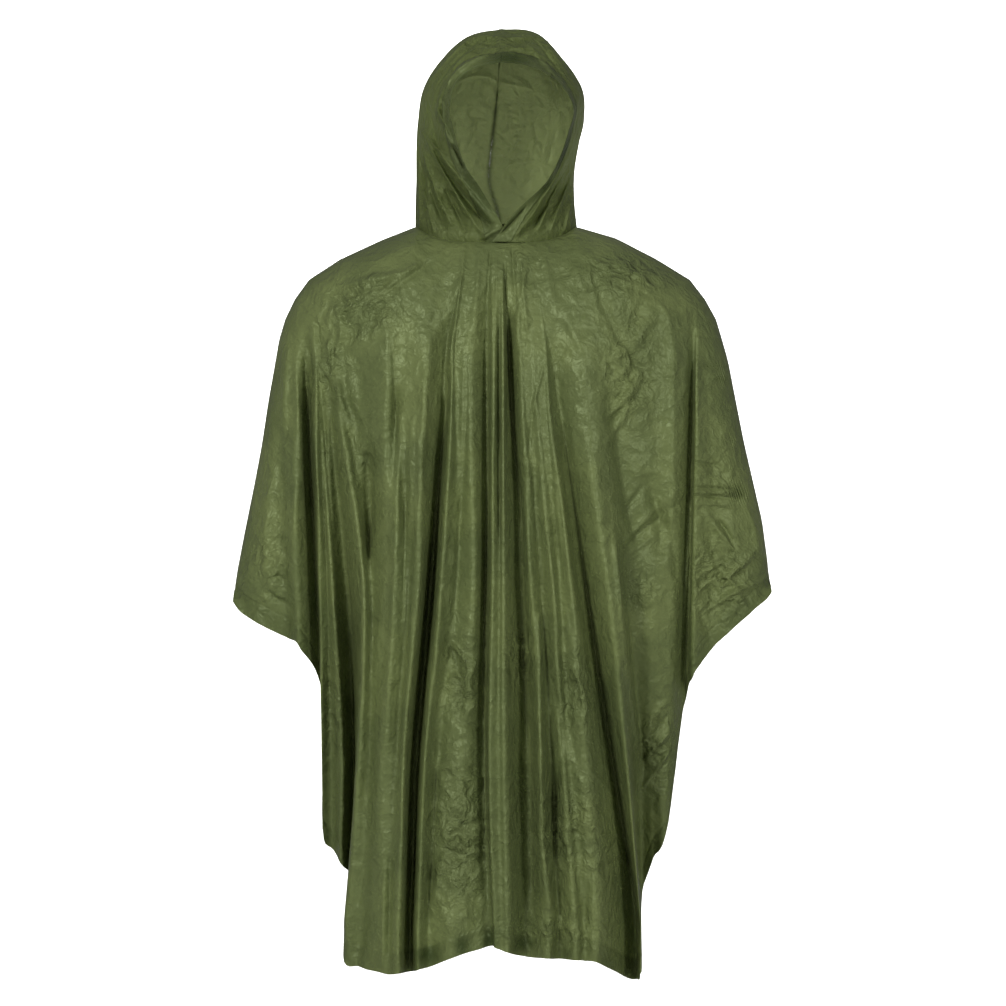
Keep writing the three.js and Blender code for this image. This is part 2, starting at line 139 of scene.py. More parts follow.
# A row for each fold line, from the left wing to the right: x where it leaves the top line and at four
# heights, how far it stands out of the plain form at three heights, where it starts and where it ends.
FOLD_COLUMNS = "topX x240 x460 x680 x900 out240 out560 out880 startZ endZ"
FRONT_FOLDS = table(FOLD_COLUMNS, [
    [-349, -350, -350, -350, -350, 0, 0, 0, -200, -487],
    [-336, -336, -335, -330, -330, 0, 0, 0, -200, -503],
    [-308, -306, -303, -300, -300, 0, 3, 0, -200, -521],
    [-285, -281, -277, -276, -276, 0, -3, 0, -200, -534],
    [-268, -263, -259, -258, -258, 6, 14, 10, -140, -545],
    [-258, -249, -240, -229, -224, -25, -38, -54, -110, -606],
    [-247, -237, -233, -231, -231, 8, 0, -26, -100, -780],
    [-238, -231, -224, -219, -216, 2, -22, -42, -140, -814],
    [-230, -225, -213, -203, -203, 2, -10, -34, -200, -832],
    [-216, -218, -197, -190, -192, -10, -66, -100, -170, -862],
    [-190, -205, -174, -181, -199, 7, 12, 14, -90, -945],
    [-156, -186, -162, -165, -176, -12, -10, 3, -110, -955],
    [-110, -142, -130, -150, -152, 5, 8, 6, -60, -958],
    [-94, -127, -115, -130, -138, -6, -5, 4, -120, -959],
    [-78, -94, -101, -119, -125, 8, 15, 12, -60, -957],
    [-47, -71, -86, -106, -113, -23, -43, -42, -40, -954],
    [-41, -61, -73, -94, -103, 6, 8, 6, -50, -952],
    [-32, -52, -51, -80, -86, -5, -11, -12, -120, -947],
    [-24, -36, -30, -46, -55, 6, 4, 4, -60, -935],
    [-13, -14, -15, -17, -12, -18, -22, -15, -40, -921],
    [-7, -7, -7, -11, -5, 4, 8, 8, -30, -923],
    [-1, 0, 2, 1, 5, -5, 3, 6, -30, -926],
    [6, 8, 9, 11, 16, 4, 8, 8, -30, -930],
    [13, 16, 30, 35, 36, -22, -39, -35, -60, -934],
    [20, 30, 41, 53, 64, 2, 4, 2, -60, -937],
    [28, 40, 56, 68, 79, -4, -20, -24, -200, -937],
    [34, 50, 69, 82, 98, 2, 2, 3, -100, -939],
    [39, 58, 79, 93, 111, -2, -9, -8, -300, -940],
    [43, 66, 92, 115, 131, 2, 7, 5, -100, -945],
    [48, 78, 110, 146, 178, -13, -42, -54, -80, -972],
    [82, 116, 140, 165, 184, 7, 12, 14, -60, -962],
    [105, 156, 173, 181, 190, -8, -28, -88, -120, -884],
    [172, 198, 203, 203, 203, -3, -14, -60, -120, -826],
    [236, 240, 234, 225, 216, 5, -8, -28, -90, -789],
    [256, 255, 250, 246, 244, -18, -31, -50, -90, -617],
    [264, 259, 255, 254, 254, 7, 8, 6, -110, -584],
    [286, 281, 280, 278, 278, 0, -3, 0, -200, -549],
    [312, 308, 305, 303, 303, 0, 3, 0, -200, -525],
    [347, 344, 340, 335, 335, 0, 0, 0, -200, -494],
    [361, 361, 361, 361, 361, 0, 0, 0, -200, -474],
])
BACK_FOLDS = table(FOLD_COLUMNS, [
    [-349, -350, -350, -350, -350, 0, 0, 0, -200, -487],
    [-322, -320, -318, -316, -316, 0, 2, 0, -200, -509],
    [-272, -270, -266, -262, -262, 7, 10, 6, -140, -535],
    [-256, -249, -241, -230, -226, -30, -44, -54, -110, -592],
    [-244, -236, -230, -224, -222, 7, -4, -18, -100, -778],
    [-222, -217, -203, -190, -192, -8, -56, -84, -170, -838],
    [-176, -196, -176, -176, -182, 8, 12, 12, -90, -915],
    [-110, -160, -142, -148, -150, -14, -16, -10, -110, -926],
    [-90, -116, -112, -122, -124, 8, 14, 12, -60, -928],
    [-64, -82, -90, -98, -102, -22, -40, -36, -60, -925],
    [-46, -62, -70, -76, -82, 7, 10, 8, -60, -922],
    [-26, -34, -38, -46, -50, -10, -20, -18, -100, -918],
    [-10, -14, -16, -18, -20, 6, 10, 10, -60, -914],
    [6, 8, 8, 8, 8, -14, -26, -22, -60, -912],
    [22, 28, 30, 34, 36, 7, 10, 8, -60, -914],
    [42, 54, 60, 68, 74, -12, -24, -28, -90, -918],
    [62, 80, 90, 100, 106, 7, 12, 10, -60, -922],
    [86, 110, 116, 128, 134, -20, -38, -40, -80, -926],
    [105, 142, 148, 156, 160, 7, 11, 12, -90, -924],
    [156, 180, 178, 180, 182, -9, -20, -50, -120, -900],
    [204, 214, 206, 196, 192, -4, -40, -80, -170, -846],
    [238, 238, 230, 220, 214, 7, -4, -20, -100, -782],
    [252, 250, 241, 232, 228, -30, -44, -54, -100, -606],
    [272, 268, 264, 260, 260, 6, 8, 6, -120, -566],
    [326, 322, 320, 316, 316, 0, 2, 0, -200, -516],
    [361, 361, 361, 361, 361, 0, 0, 0, -200, -474],
])


def neck_edge(x, front):
    """Depth and height of the neck opening's edge at x: half an ellipse, level in the middle."""
    reach = np.minimum(1.0, np.abs(x) / np.where(x < 0, NECK_LEFT, NECK_RIGHT))
    depth = (NECK_FRONT if front else NECK_BACK) * np.sqrt(1.0 - reach**2)
    return depth, mix(THROAT_Z if front else NAPE_Z, NECK_SIDE_Z, reach**4)


def top_z(x, front):
    """Height of the top line: the neck edge between the sides of the neck, the shoulder ridge beyond."""
    left = np.interp(-x, -LEFT_RIDGE["x"], LEFT_RIDGE["z"])
    right = np.interp(x, RIGHT_RIDGE["x"], RIGHT_RIDGE["z"])
    in_neck = (x > -NECK_LEFT) & (x < NECK_RIGHT)
    return np.where(in_neck, neck_edge(x, front)[1], np.where(x < 0, left, right))


def distance_to_top(x, z, front):
    """Distance of each place from the top line, seen from the front."""
    inner = np.linspace(-NECK_LEFT, NECK_RIGHT, 13)[1:-1]
    line_x = np.concatenate([LEFT_RIDGE["x"][::-1], inner, RIGHT_RIDGE["x"]])
    line_z = np.concatenate([LEFT_RIDGE["z"][::-1], top_z(inner, front), RIGHT_RIDGE["z"]])
    nearest = np.full(x.shape, np.inf)
    for ax, az, bx, bz in zip(line_x[:-1], line_z[:-1], line_x[1:], line_z[1:]):
        dx, dz = bx - ax, bz - az
        t = np.clip(((x - ax) * dx + (z - az) * dz) / (dx * dx + dz * dz), 0, 1)
        nearest = np.minimum(nearest, np.hypot(x - ax - t * dx, z - az - t * dz))
    return nearest


def base_depth(x, z, front):
    """How far the cloth stands off the plane of the shoulders without its folds."""
    level = np.interp(-z, -DEPTHS["z"], np.arange(len(DEPTHS["z"])))
    middle = cubic(DEPTHS["front" if front else "back"], level)
    edge = cubic(DEPTHS["edge"], level)
    return mix(edge, middle, 1.0 / (1.0 + (np.abs(x) / TORSO_HALF_WIDTH) ** TORSO_SQUARENESS))


def body_points(folds, line, share, front):
    """Points of the sheet. line is the real index of a fold line per column, share the way down per row. A
    place stands off the middle plane by the plain form plus its fold, never less than LEAST_DEPTH, and comes
    back to the neck edge or the ridge over a quarter circle below the top line."""
    at = {name: cubic(values, line) for name, values in folds.items()}
    start = top_z(at["topX"], front)
    z = mix(start, at["endZ"], share)
    xs = np.stack([at["x240"], at["x460"], at["x680"], at["x900"]])

    def x_at(height):
        """Where the fold line is at a height; above the first level it goes on at half the slope."""
        index = (FIRST_LEVEL - height) / X_STEP
        inside = cubic_down(xs, np.clip(index, 0.0, 3.0))
        return np.where(index < 0, xs[0] + index * 0.5 * (xs[1] - xs[0]), inside)

    x = x_at(z) + (at["topX"] - x_at(start[None, :])) * (1.0 - smooth((start - z) / TOP_SETTLE))
    outs = np.stack([at["out240"], at["out560"], at["out880"]])
    out = cubic_down(outs, np.clip((FIRST_LEVEL - z) / OUT_STEP, 0.0, 2.0))
    opened = smooth((at["startZ"] - z) / FOLD_GROWTH)
    over = base_depth(x, z, front) + out * opened - LEAST_DEPTH
    depth = LEAST_DEPTH + (over + np.hypot(over, LEAST_DEPTH_BLEND)) / 2.0
    radius = mix(ROUND_AT_NECK, ROUND_OVER_ARM, smooth((np.abs(x) - NECK_SIDE) / NECK_TO_ARM))
    turned = 1.0 - np.clip(distance_to_top(x, z, front) / radius, 0, 1)
    y = mix(neck_edge(at["topX"], front)[0] + 0 * x, depth, np.sqrt(1.0 - turned**2))
    middle = smooth((HEM_EVEN_WIDTH - np.abs(x)) / HEM_EVEN_BLEND)
    at_hem = smooth((share - HEM_EVEN_FROM) / (1.0 - HEM_EVEN_FROM))
    z = z + HEM_EVEN * out * opened * middle * at_hem
    return np.stack([x, -y if front else y, z], axis=-1)


# Creases and crumple


def seen_from_front(points):
    """Where a point of the surface shows in the photo's view, in its pixels."""
    nearer = VIEW_DISTANCE / (VIEW_DISTANCE + points[..., 1]) / MM_PER_PIXEL
    across = MIDDLE_PIXEL + (points[..., 0] - VIEW_X) * nearer
    down = MIDDLE_PIXEL - (points[..., 2] - VIEW_Z) * nearer
    return across, down


def crease_height(across, down, rows):
    """Sum of creases. Each runs from one place to another with a bow, fades at both ends, and falls off
    across its width; rise is in millimetres and is below zero for a trough."""
    total = np.zeros(across.shape)
    for x0, y0, x1, y1, bow, width, rise in zip(*rows.values()):
        dx, dy = x1 - x0, y1 - y0
        length = math.hypot(dx, dy)
        along = ((across - x0) * dx + (down - y0) * dy) / length**2
        arch = np.clip(4.0 * along * (1.0 - along), 0.0, 1.0)
        off = ((across - x0) * dy - (down - y0) * dx) / length - bow * arch
        total += rise * np.sqrt(arch) * np.exp(-np.abs(off / width) ** 1.4)
    return total


# A long fold starts and ends over these shares of its length.
TOP_END, BOTTOM_END = 0.22, 0.16


def long_fold_height(across, down, rows):
    """Sum of long folds. Each runs down through x0 to x3, evenly spaced between its top and bottom, and falls
    off to its left and right over different widths, so that one side can be steep."""
    total = np.zeros(across.shape)
    for top, bottom, x0, x1, x2, x3, left, right, rise in zip(*rows.values()):
        along = np.clip((down - top) / (bottom - top), 0.0, 1.0)
        off = across - cubic([x0, x1, x2, x3], 3.0 * along)
        width = np.where(off < 0, left, right)
        ends = smooth(along / TOP_END) * smooth((1.0 - along) / BOTTOM_END)
        total += rise * ends * np.exp(-np.abs(off / width) ** 1.5)
    return total


# How sharply the facets of crumple meet, and after how many cells they repeat.
FACET_CRISPNESS = 26.0
TILE = 64


def crumple_height(across, down, cell, seed, stretch, lean):
    """Flat facets that lean at random and meet in soft edges: each cell has its own tilt, and a place takes
    the tilts of the cells near it, weighted by nearness. Heights come out in cell sizes."""
    jitter = np.random.default_rng(seed).random((TILE, TILE, 4))
    turn_c, turn_s = math.cos(lean), math.sin(lean)
    u = (across * turn_c + down * turn_s) / cell
    v = (-across * turn_s + down * turn_c) / (cell * stretch)
    iu, iv = np.floor(u).astype(int), np.floor(v).astype(int)
    total, weights = np.zeros(u.shape), np.zeros(u.shape)
    for du in (-1, 0, 1):
        for dv in (-1, 0, 1):
            cell_values = jitter[(iu + du) % TILE, (iv + dv) % TILE]
            off_u = u - (iu + du + cell_values[..., 0])
            off_v = v - (iv + dv + cell_values[..., 1])
            weight = np.exp(-FACET_CRISPNESS * (off_u**2 + off_v**2))
            tilt_u, tilt_v = 2 * cell_values[..., 2] - 1, 2 * cell_values[..., 3] - 1
            total += weight * (tilt_u * off_u + tilt_v * off_v)
            weights += weight
    return total / np.maximum(weights, 1e-9)


def crumple_layers(across, down, layers, seed):
    """Sum of layers of crumple, coarse to fine, each with a height in millimetres and a seed of its own."""
    total = 0.0
    for number, (height, cell, stretch, lean) in enumerate(layers):
        total += height * crumple_height(across, down, cell, seed + number, stretch, lean)
    return total


def patches(across, down, rows):
    """Strength of soft oval patches at each place; where some overlap, the strongest counts."""
    amount = np.zeros(across.shape)
    for x, y, rx, ry, strength in zip(*rows.values()):
        amount = np.maximum(amount, strength * np.exp(-(((across - x) / rx) ** 2 + ((down - y) / ry) ** 2)))
    return amount


# Places and widths are in the photo's pixels, rise in millimetres.
CREASE_COLUMNS = "x0 y0 x1 y1 bow width rise"
LONG_FOLD_COLUMNS = "top bottom x0 x1 x2 x3 left right rise"
PATCH_COLUMNS = "x y rx ry strength"
BODY_CREASES = table(CREASE_COLUMNS, [
    # left shoulder, from the neck out to the arm
    [440, 250, 366, 308, -3, 2.6, 2.6],
    [436, 256, 372, 300, 2, 2.2, -2],
    [424, 264, 352, 284, 3, 2.4, 2.2],
    [405, 272, 336, 288, -2, 2.4, 2.2],
    [398, 278, 350, 296, 2, 2, -1.8],
    [380, 305, 338, 312, -3, 2.2, 2],
    [368, 322, 352, 352, 2, 2.6, 2.4],
    [374, 304, 366, 340, 0, 2.2, -2.4],
    [332, 300, 342, 346, 3, 2.4, 2.2],
    [318, 322, 322, 362, 0, 2.4, -2.6],
    [328, 338, 334, 392, 0, 2.6, 2.6],
    [306, 336, 312, 386, 1, 3, -3.4],
    [385, 320, 368, 344, 0, 2.2, 2],
    [318, 360, 342, 392, -2, 2.2, 2],
    [338, 396, 354, 434, 1, 1.8, 3.2],
    [343, 394, 358, 436, 1, 1.6, -2.6],
    [348, 430, 356, 486, 3, 2.6, -2.6],
    [345, 344, 362, 420, -3, 4, 2.4],
    [300, 300, 330, 262, 3, 3, 1.4],
    [372, 262, 420, 244, 0, 2.6, 1.2],
    # left sleeve
    [284, 552, 256, 602, 3, 5, 3],
    [276, 466, 258, 512, 3, 4, 2.4],
    [270, 508, 262, 548, -2, 4, 2],
    [300, 470, 292, 600, -3, 6, 3],
    [286, 330, 282, 420, 2, 5, 2],
    [262, 590, 300, 612, 0, 3, -1.6],
    # left half of the front, long soft folds
    [368, 452, 366, 560, 3, 5, -9],
    [395, 386, 392, 480, 0, 5, -4],
    [408, 410, 402, 660, 0, 2.4, -1.4],
    [418, 400, 412, 640, 0, 2.4, -1.8],
    [424, 420, 418, 620, 0, 3.4, 2.6],
    [430, 330, 420, 470, 2, 4, 2.4],
    [447, 326, 462, 276, 2, 2.6, 3.4],
    [452, 330, 446, 400, 0, 2, 2.4],
    [384, 560, 372, 690, 2, 5, 3],
    [392, 640, 386, 760, 0, 4, 2],
    [400, 700, 398, 860, 0, 3, -2.4],
    [352, 872, 390, 850, 2, 2.4, 1.4],
    [360, 770, 341, 836, -4, 3.4, 3],
    [385, 860, 382, 968, 0, 2.4, 2.6],
    [390, 850, 388, 968, 0, 2, -2],
    [366, 900, 358, 960, 0, 5, -2],
    [402, 780, 404, 900, 0, 2.6, 2],
    # pocket of cloth left of the middle pleat
    [447, 634, 486, 636, 0, 2, 2],
    [450, 640, 474, 672, 0, 1.8, 2.4],
    [484, 646, 466, 686, 0, 2, 2.2],
    [447, 640, 458, 722, 8, 4, -5],
    [456, 722, 486, 744, 6, 3.4, -4],
    [462, 668, 474, 716, 4, 4, 3],
    [448, 676, 478, 690, -5, 3, 2.4],
    [446, 840, 492, 852, -3, 3, 3],
    [444, 848, 488, 862, -2, 2.4, -2.4],
    [430, 918, 448, 852, 2, 2.8, 3],
    [437, 893, 456, 936, -2, 2.6, 2.4],
    [446, 760, 478, 790, 4, 2.6, 2.2],
    [440, 800, 470, 826, -4, 2.6, -2.4],
    [462, 792, 480, 838, 3, 2.6, 2.4],
    [432, 745, 444, 792, 0, 2.4, 2],
    [478, 870, 462, 920, 0, 2.6, 2],
    # between the pleat and the long slanting valley
    [545, 360, 532, 410, 0, 1.6, 2],
    [532, 408, 524, 470, 2, 1.6, -2],
    [520, 300, 514, 356, 0, 2.6, 2],
    [528, 262, 520, 300, 0, 2.2, 1.8],
    [500, 262, 498, 330, 0, 1.6, 2],
    [505, 262, 504, 340, 0, 1.4, -1.6],
    [509, 644, 526, 658, 6, 2, 2.4],
    [510, 660, 528, 646, 6, 2, 2],
    [520, 470, 530, 560, 0, 3, 2],
    [540, 480, 560, 640, 0, 3, 2.4],
    [548, 470, 572, 640, 0, 2.6, -2.4],
    [538, 610, 541, 730, 0, 2.6, 4],
    [540, 726, 541, 830, 0, 2.6, 4],
    [541, 826, 549, 912, 0, 3, 3],
    [552, 676, 563, 760, 3, 4, -5],
    [560, 760, 556, 856, -3, 4, -5],
    [566, 660, 588, 720, 5, 3.4, 3.4],
    [590, 676, 566, 690, 0, 2.2, 2.2],
    [590, 676, 574, 664, 0, 2.2, 2],
    [590, 676, 596, 706, 0, 2.4, 2.4],
    [568, 730, 586, 800, -4, 4, 3],
    [588, 770, 616, 802, 2, 2.6, 2.4],
    [576, 790, 612, 820, 2, 2.2, -2],
    [574, 820, 622, 832, -2, 2.4, 3],
    [590, 842, 626, 838, 3, 2.4, 2.2],
    [596, 846, 586, 930, -3, 4, -3],
    [556, 820, 568, 856, 3, 2.2, 3],
    [550, 880, 562, 930, -4, 2.6, 2.4],
    [548, 905, 580, 944, 2, 2.4, 2],
    [528, 860, 534, 926, 0, 2.6, -3],
    # right shoulder
    [580, 246, 652, 294, -4, 2.4, 2.4],
    [588, 262, 648, 296, 3, 2.2, -2],
    [600, 256, 660, 290, 0, 2.2, 1.8],
    [594, 276, 626, 348, -3, 3, -4],
    [626, 346, 640, 372, 0, 2.4, -2.6],
    [640, 370, 606, 418, 4, 2.6, 3.2],
    [646, 378, 612, 420, 3, 2, -2.2],
    [652, 306, 630, 354, 3, 2.6, 2.8],
    [642, 298, 626, 338, 2, 2.2, -2.4],
    [634, 384, 604, 446, 4, 3.2, 2.6],
    [572, 262, 590, 300, 0, 2.6, 1.4],
    [664, 300, 672, 380, 4, 6, 3],
    [560, 300, 590, 360, -3, 3, 1.6],
    # right half of the front
    [622, 516, 644, 484, 0, 2, -2.8],
    [624, 548, 688, 498, 3, 2, -3],
    [628, 540, 684, 486, 3, 2.4, 2.2],
    [626, 556, 662, 530, 0, 2, 2],
    [648, 474, 662, 556, 3, 8, -6],
    [664, 520, 676, 580, 3, 6, -4],
    [632, 590, 652, 606, 4, 2.4, 2.4],
    [640, 580, 634, 612, 0, 2.2, -2],
    [614, 524, 640, 760, -3, 4, 5],
    [640, 764, 672, 730, 0, 1.8, 3],
    [642, 788, 672, 750, 0, 1.8, 3],
    [646, 742, 668, 716, 0, 1.8, -2.6],
    [650, 716, 672, 700, 0, 1.8, 2.2],
    # right sleeve, with straight creases from how it lay folded
    [688, 462, 724, 466, 0, 1.4, -2.2],
    [690, 463, 728, 484, 0, 1.4, 2],
    [688, 487, 748, 489, 0, 1.3, -2.6],
    [688, 492, 748, 493, 0, 1.3, 2.6],
    [688, 497, 746, 496, 0, 1.3, -2.4],
    [690, 504, 732, 505, 0, 1.4, 2],
    [700, 366, 726, 367, 0, 1.4, -1.6],
    [702, 378, 730, 377, 0, 1.4, 1.6],
    [704, 506, 736, 550, -3, 3, 3],
    [718, 520, 734, 548, 2, 2.2, -3.2],
    [714, 598, 762, 546, 3, 2.2, 2.8],
    [706, 612, 764, 580, 3, 3, 3.2],
    [690, 582, 726, 560, 0, 2.4, 2.2],
    [722, 572, 742, 606, 4, 2.4, 2.8],
    [700, 540, 716, 574, 0, 2.4, 2.2],
    [694, 600, 712, 640, 0, 2.4, -2.4],
    [744, 500, 760, 560, 3, 5, 3],
])
BODY_LONG_FOLDS = table(LONG_FOLD_COLUMNS, [
    # left sleeve and the two black valleys beside it
    [330, 600, 284, 285, 288, 291, 4, 4, 3],
    [380, 590, 273, 270, 268, 262, 5, 5, 2.5],
    [345, 640, 295, 301, 306, 309, 3, 2, 4],
    [332, 700, 303, 310, 316, 320, 4, 2, -9],
    [360, 690, 309, 317, 324, 327, 2, 2, 4],
    [368, 765, 320, 329, 340, 350, 2, 5, -9],
    [395, 700, 331, 344, 356, 364, 5, 6, 4],
    # left half of the front
    [430, 580, 368, 365, 366, 368, 4, 9, -8],
    [380, 500, 396, 394, 393, 392, 4, 5, -5],
    [380, 660, 402, 399, 395, 391, 4, 4, 6],
    [400, 660, 413, 411, 407, 403, 4, 3.4, 6],
    [350, 660, 428, 421, 415, 409, 3, 2.4, 7],
    [300, 968, 448, 428, 411, 401, 4, 2, 5],
    [268, 968, 461, 437, 420, 408, 2, 4, -8],
    [400, 700, 454, 447, 440, 434, 3, 3, 4],
    [330, 640, 467, 465, 459, 452, 2, 4, -5],
    [700, 945, 444, 436, 431, 426, 3, 4, -8],
    [690, 960, 365, 343, 341, 350, 3, 3, 5],
    # the middle pleat
    [280, 930, 486, 487, 483, 489, 3.5, 1.4, -8],
    [340, 935, 489.5, 491, 488, 494, 1.6, 4, 3.5],
    [248, 460, 497, 496, 495, 494, 1.6, 1.6, 4],
    [248, 560, 502.8, 502.6, 503, 504, 1.6, 1.6, 4],
    [250, 560, 499.8, 499.2, 498.6, 499, 1.1, 1.1, -3],
    [248, 470, 505, 506, 507, 508, 1, 1, -3.6],
    [290, 560, 507, 510, 517, 525, 1.5, 5, -11],
    [540, 760, 512, 517, 524, 528, 3, 5, -6],
    [560, 930, 527, 533, 530, 534, 4, 5, -8],
    # right half of the front
    [420, 700, 523, 533, 540, 543, 2, 3, 4],
    [690, 905, 538, 541, 541, 547, 2.5, 2.5, 6],
    [470, 680, 530, 536, 541, 547, 1.6, 2, -4],
    [370, 945, 550, 571, 602, 637, 4, 1.8, 6],
    [318, 948, 546, 578, 608, 643, 1.8, 5, -9],
    [430, 700, 585, 598, 613, 627, 7, 7, 4],
    [470, 650, 556, 562, 568, 575, 2, 2, -3.6],
    [380, 560, 606, 615, 625, 640, 5, 12, -8],
    [520, 770, 612, 622, 631, 639, 3, 2, 6],
    [540, 790, 620, 629, 637, 645, 2, 5, -7],
    [330, 600, 672, 673, 671, 667, 8, 6, 5],
    [340, 695, 691.5, 688.5, 684, 678, 5, 1.6, -5],
    [350, 640, 695, 692.5, 688.5, 684, 1.6, 4, 4],
    # gathers below the neck
    [241, 330, 466, 462, 458, 455, 3, 3, 3.4],
    [241, 340, 480, 478, 476, 474, 3, 3, 3],
    [241, 330, 491, 489, 487, 486, 1.6, 1.6, -3.4],
    [241, 320, 512, 513, 515, 517, 1.6, 1.6, -3.4],
    [241, 340, 519, 522, 525, 528, 3, 3, 3],
    [243, 320, 540, 546, 552, 560, 4, 4, 3],
    [243, 340, 450, 443, 436, 428, 3, 4, -3],
])
CREASE_RISE = 2.1
LONG_FOLD_RISE = 1.3

# Painted shade on the front hem: patches where its double film is darkened as if in shadow, and how dark the
# rest of the double film is.
HEM_PAINTED_SHADE = table(PATCH_COLUMNS, [
    [428, 955, 16, 14, 1],
    [462, 946, 9, 14, 1],
    [489, 940, 8, 16, 1],
    [524, 944, 14, 10, 0.9],
    [566, 954, 10, 10, 0.5],
    [606, 962, 12, 12, 0.5],
])
HEM_BASE_TONE = 0.22

# Where the film is crumpled, and how much the rest of it is.
BODY_PATCHES = table(PATCH_COLUMNS, [
    [365, 305, 46, 34, 1],
    [330, 370, 26, 40, 0.8],
    [355, 460, 22, 50, 0.5],
    [270, 560, 30, 60, 0.55],
    [620, 275, 50, 24, 0.9],
    [628, 370, 24, 60, 0.9],
    [720, 580, 40, 46, 1],
    [718, 480, 34, 50, 0.5],
    [462, 680, 24, 44, 0.9],
    [458, 840, 32, 84, 1.1],
    [518, 660, 14, 36, 1],
    [520, 800, 16, 60, 0.6],
    [575, 690, 24, 50, 0.9],
    [565, 830, 40, 60, 0.9],
    [600, 860, 40, 50, 0.6],
    [640, 590, 22, 26, 0.8],
    [658, 750, 22, 50, 0.9],
    [334, 700, 18, 60, 0.7],
    [560, 930, 70, 26, 0.8],
    [530, 260, 60, 24, 0.5],
])
FIELD_CRUMPLE = 0.22

# Layers of crumple: height in millimetres, cell size in the photo's pixels, its stretch, its lean in radians.
BODY_CRUMPLE = [(6.0, 26.0, 1.5, 0.25), (6.0, 12.0, 1.3, -0.5), (2.6, 6.5, 1.0, 0.7)]
HOOD_CRUMPLE = [(5.0, 20.0, 1.3, 0.4), (3.6, 9.0, 1.0, 0.0)]
FRONT_SEED, BACK_SEED, HOOD_SEED = 11, 47, 71


def surface_detail(points, facing, front):
    """How far creases move each place of a sheet to the front or back and crumple moves it along its normal,
    in millimetres, and how crumpled the place is. The crumple's cells are bent by two waves each way, so
    they don't lie in rows, and it fades where the sheet turns sideways. The back has the tables mirrored."""
    mirrored = points if front else points * np.array([-1.0, -1.0, 1.0])
    across, down = seen_from_front(mirrored)
    amount = np.maximum(patches(across, down, BODY_PATCHES), FIELD_CRUMPLE)
    bent_a = across + 5.0 * np.sin(down / 23.0 + 1.3) + 3.0 * np.sin(down / 9.0)
    bent_d = down + 5.0 * np.sin(across / 19.0) + 3.0 * np.sin(across / 8.0 + 2.0)
    crumple = crumple_layers(bent_a, bent_d, BODY_CRUMPLE, FRONT_SEED if front else BACK_SEED)
    folded = LONG_FOLD_RISE * long_fold_height(across, down, BODY_LONG_FOLDS)
    folded += CREASE_RISE * crease_height(across, down, BODY_CREASES)
    return folded, crumple * amount * facing**2, amount


# Hood form. A row for each arch, from the left side of the throat over the crown to the right side: its
# place on the face edge, where it is widest, and on the seam at the back.
HOOD = table("faceX faceY faceZ sideX sideY sideZ seamY seamZ", [
    [16, -84, -14, -110, 0, 11, 89, 24],
    [9, -93, 8, -110, 3, 42, 99, 52],
    [-15, -97, 41, -109, 6, 76, 110, 80],
    [-41, -101, 80, -109, 10, 115, 118, 108],
    [-54, -104, 116, -107, 12, 152, 122, 134],
    [-62, -106, 152, -100, 14, 195, 122, 160],
    [-55, -108, 184, -78, 15, 232, 118, 182],
    [-36, -109, 203, -42, 15, 265, 112, 197],
    [5, -110, 213, 4, 15, 275, 106, 205],
    [44, -109, 207, 50, 15, 271, 112, 197],
    [79, -107, 187, 83, 15, 240, 118, 182],
    [97, -105, 154, 112, 14, 197, 122, 160],
    [90, -102, 122, 115, 12, 155, 122, 134],
    [79, -99, 90, 108, 10, 122, 118, 108],
    [60, -97, 58, 102, 6, 84, 110, 80],
    [17, -97, 23, 102, 3, 46, 99, 52],
    [-14, -95, -13, 105, 0, 12, 89, 24],
])
LAST_ARCH = len(HOOD["faceX"]) - 1
MIDDLE_ARCH = LAST_ARCH / 2
WIDEST = 0.48
FACE_TURN = 1.7
SEAM_X = 2.0
SEAM_LEAN = 16.0
NECK_ROWS = 2.5
NECK_LIFT = -0.6
SEAM_LEAN_FROM, SEAM_LEAN_OVER = 260.0, 200.0
THROAT_LEFT, THROAT_RIGHT = 10.0, -8.0
LAP_DEPTH, LAP_SHARE = 9.0, 0.35


def arch_points(arch, share):
    """Arches from the edge round the face, over the widest arch, to the seam at the back: from the face they
    run out by a power of the share, and to the seam they follow a quarter of an ellipse."""
    at = {name: cubic(values, arch) for name, values in HOOD.items()}
    t = 1.0 - share / WIDEST
    turn = np.maximum(t, 0.0) ** FACE_TURN
    face_side = np.stack([
        mix(at["sideX"], at["faceX"], turn),
        mix(at["sideY"], at["faceY"], t),
        mix(at["sideZ"], at["faceZ"], turn),
    ], axis=-1)
    angle = (share - WIDEST) / (1.0 - WIDEST) * math.pi / 2
    bend = 1.0 - np.cos(angle)
    seam_x = SEAM_X - SEAM_LEAN * smooth((SEAM_LEAN_FROM - at["seamZ"]) / SEAM_LEAN_OVER)
    back_side = np.stack([
        mix(at["sideX"], seam_x, bend),
        mix(at["sideY"], at["seamY"], np.sin(angle)),
        mix(at["sideZ"], at["seamZ"], bend),
    ], axis=-1)
    return np.where((share < WIDEST)[..., None], face_side, back_side)


def neck_points(left, share):
    """The neck edge of the sheet, from a front edge of the hood round to the seam at the back."""
    half = -NECK_LEFT if left else NECK_RIGHT
    start = math.asin((THROAT_LEFT if left else THROAT_RIGHT) / half)
    angle = mix(start, math.pi - math.asin(SEAM_X / half), share)
    x = half * np.sin(angle)
    front = np.cos(angle) > 0
    depth_f, z_f = neck_edge(x, True)
    depth_b, z_b = neck_edge(x, False)
    lap = 0.0 if left else LAP_DEPTH * (1.0 - smooth(share / LAP_SHARE))
    return np.stack([x, np.where(front, -depth_f, depth_b) - lap, np.where(front, z_f, z_b)], axis=-1)


